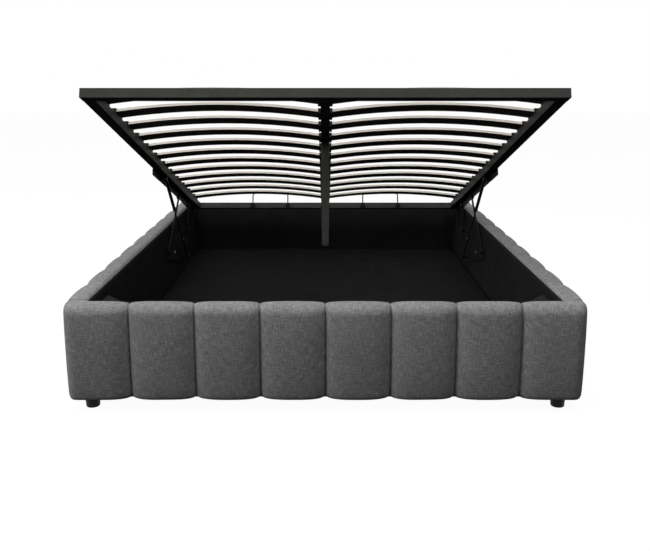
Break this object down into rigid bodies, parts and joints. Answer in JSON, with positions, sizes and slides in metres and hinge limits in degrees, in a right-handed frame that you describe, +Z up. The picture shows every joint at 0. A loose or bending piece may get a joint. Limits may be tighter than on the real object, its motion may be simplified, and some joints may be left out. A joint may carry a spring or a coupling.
{
  "type": "ottoman storage bed",
  "caption": "Upholstered storage bed base whose bowed-slat platform lifts at the foot end on pivoting arms and gas struts, with channelled padding on foot and sides and an enclosed floor.",
  "frame": {"origin": "on the floor, under the middle of the upholstered box", "axes": "+Z up, +Y from the foot end towards the head end, +X to the right seen from the foot end"},
  "size_m": [1.474, 1.9989, 0.9115],
  "materials": {
    "upholstery": "woven grey linen-look cloth over foam",
    "board": "raw particle board",
    "lining": "black non-woven lining",
    "timber": "planed softwood",
    "hardboard": "brown hardboard",
    "floor_cloth": "black non-woven cloth",
    "foot": "satin black",
    "zinc": "bright zinc",
    "gusset": "grey painted board",
    "lift_steel": "black powder coat",
    "strut_body": "black paint",
    "strut_rod": "black nitrided steel",
    "frame_steel": "dark grey powder coat",
    "plug": "black",
    "slat": "pale birch plywood",
    "holder": "black",
    "leg_tip": "black"
  },
  "bodies": {
    "box": {"corner_bolts": "lift_steel", "corner_brackets": "lift_steel", "corner_gussets": "gusset", "floor_centre_feet": "foot", "floor_cloth": "floor_cloth", "floor_cross_bars": "timber", "floor_ledgers": "timber", "floor_panel_foot_end": "hardboard", "floor_panel_head_end": "hardboard", "foot_board": "board", "foot_front_left": "foot", "foot_front_right": "foot", "foot_lining": "lining", "foot_rear_left": "foot", "foot_rear_right": "foot", "foot_upholstery": "upholstery", "head_board": "board", "head_lining": "lining", "head_upholstery": "upholstery", "lift_base_bolts": "zinc", "lift_base_pins": "lift_steel", "lift_base_plate_left": "lift_steel", "lift_base_plate_right": "lift_steel", "side_board_left": "board", "side_board_right": "board", "side_lining_left": "lining", "side_lining_right": "lining", "side_upholstery_left": "upholstery", "side_upholstery_right": "upholstery"},
    "front_arm_left": {"front_arm_left": "lift_steel"},
    "front_arm_right": {"front_arm_right": "lift_steel"},
    "rear_arm_left": {"rear_arm_left": "lift_steel"},
    "rear_arm_right": {"rear_arm_right": "lift_steel"},
    "strut_cylinder_left": {"gas_strut_cylinder_left": "strut_body"},
    "strut_cylinder_right": {"gas_strut_cylinder_right": "strut_body"},
    "strut_rod_left": {"gas_strut_rod_left": "strut_rod"},
    "strut_rod_right": {"gas_strut_rod_right": "strut_rod"},
    "platform": {"leg_outer_tube": "frame_steel", "lift_hanger_bolts": "lift_steel", "lift_hanger_left": "lift_steel", "lift_hanger_pins": "lift_steel", "lift_hanger_right": "lift_steel", "mattress_stop_clamps": "holder", "mattress_stop_left": "frame_steel", "mattress_stop_right": "frame_steel", "platform_centre_rail": "frame_steel", "platform_front_rail": "frame_steel", "platform_rear_rail": "frame_steel", "platform_side_rail_left": "frame_steel", "platform_side_rail_right": "frame_steel", "rail_end_plugs": "plug", "slat_holders_centre": "holder", "slat_holders_left": "holder", "slat_holders_right": "holder", "slats_left": "slat", "slats_right": "slat"},
    "leg_middle": {"leg_middle_tube": "frame_steel"},
    "leg_inner": {"leg_inner_tube": "frame_steel", "leg_tip": "leg_tip"}
  },
  "joints": [
    {"name": "lift", "type": "hinge", "parent": "box", "child": "front_arm_left", "pos_m": [-0.663, 0.1526, 0.2166], "axis": [1, 0, 0], "range_deg": [-29.03, 0]},
    {"name": "front_arm_right_pivot", "type": "hinge", "parent": "box", "child": "front_arm_right", "pos_m": [0.663, 0.1526, 0.2166], "axis": [1, 0, 0], "range_deg": [-29.1, 0]},
    {"name": "platform_pivot", "type": "hinge", "parent": "front_arm_left", "child": "platform", "pos_m": [-0.663, 0.4192, 0.41194], "axis": [1, 0, 0], "range_deg": [0, 47.8]},
    {"name": "rear_arm_left_pivot", "type": "hinge", "parent": "box", "child": "rear_arm_left", "pos_m": [-0.663, 0.6189, 0.2216], "axis": [1, 0, 0], "range_deg": [-52.3, 0]},
    {"name": "strut_left_pivot", "type": "hinge", "parent": "box", "child": "strut_rod_left", "pos_m": [-0.6477, 0.4977, 0.115], "axis": [1, 0, 0], "range_deg": [0, 23.55]},
    {"name": "strut_left_slide", "type": "slide", "parent": "strut_rod_left", "child": "strut_cylinder_left", "axis": [0, -0.7097, 0.7045], "range_m": [-0.1852, 0]},
    {"name": "rear_arm_right_pivot", "type": "hinge", "parent": "box", "child": "rear_arm_right", "pos_m": [0.663, 0.6189, 0.2216], "axis": [1, 0, 0], "range_deg": [-52.3, 0]},
    {"name": "strut_right_pivot", "type": "hinge", "parent": "box", "child": "strut_rod_right", "pos_m": [0.6477, 0.4977, 0.115], "axis": [1, 0, 0], "range_deg": [0, 23.55]},
    {"name": "strut_right_slide", "type": "slide", "parent": "strut_rod_right", "child": "strut_cylinder_right", "axis": [0, -0.7097, 0.7045], "range_m": [-0.1852, 0]},
    {"name": "leg_middle_slide", "type": "slide", "parent": "platform", "child": "leg_middle", "axis": [0, 0.3206, 0.9472], "range_m": [0, 0.0801]},
    {"name": "leg_inner_slide", "type": "slide", "parent": "leg_middle", "child": "leg_inner", "axis": [0, 0.3206, 0.9472], "range_m": [0, 0.0571]}
  ],
  "couplings": [
    {"joint": "front_arm_right_pivot", "follows": "lift", "ratio": 1},
    {"joint": "platform_pivot", "follows": "lift", "ratio": -1.6441},
    {"joint": "rear_arm_left_pivot", "follows": "lift", "ratio": 1.8003},
    {"joint": "strut_left_pivot", "follows": "lift", "ratio": -0.80941},
    {"joint": "strut_left_slide", "follows": "lift", "m_per_rad": 0.36531},
    {"joint": "rear_arm_right_pivot", "follows": "lift", "ratio": 1.8003},
    {"joint": "strut_right_pivot", "follows": "lift", "ratio": -0.80941},
    {"joint": "strut_right_slide", "follows": "lift", "m_per_rad": 0.36531},
    {"joint": "leg_middle_slide", "follows": "lift", "m_per_rad": -0.15787},
    {"joint": "leg_inner_slide", "follows": "lift", "m_per_rad": -0.11248}
  ]
}
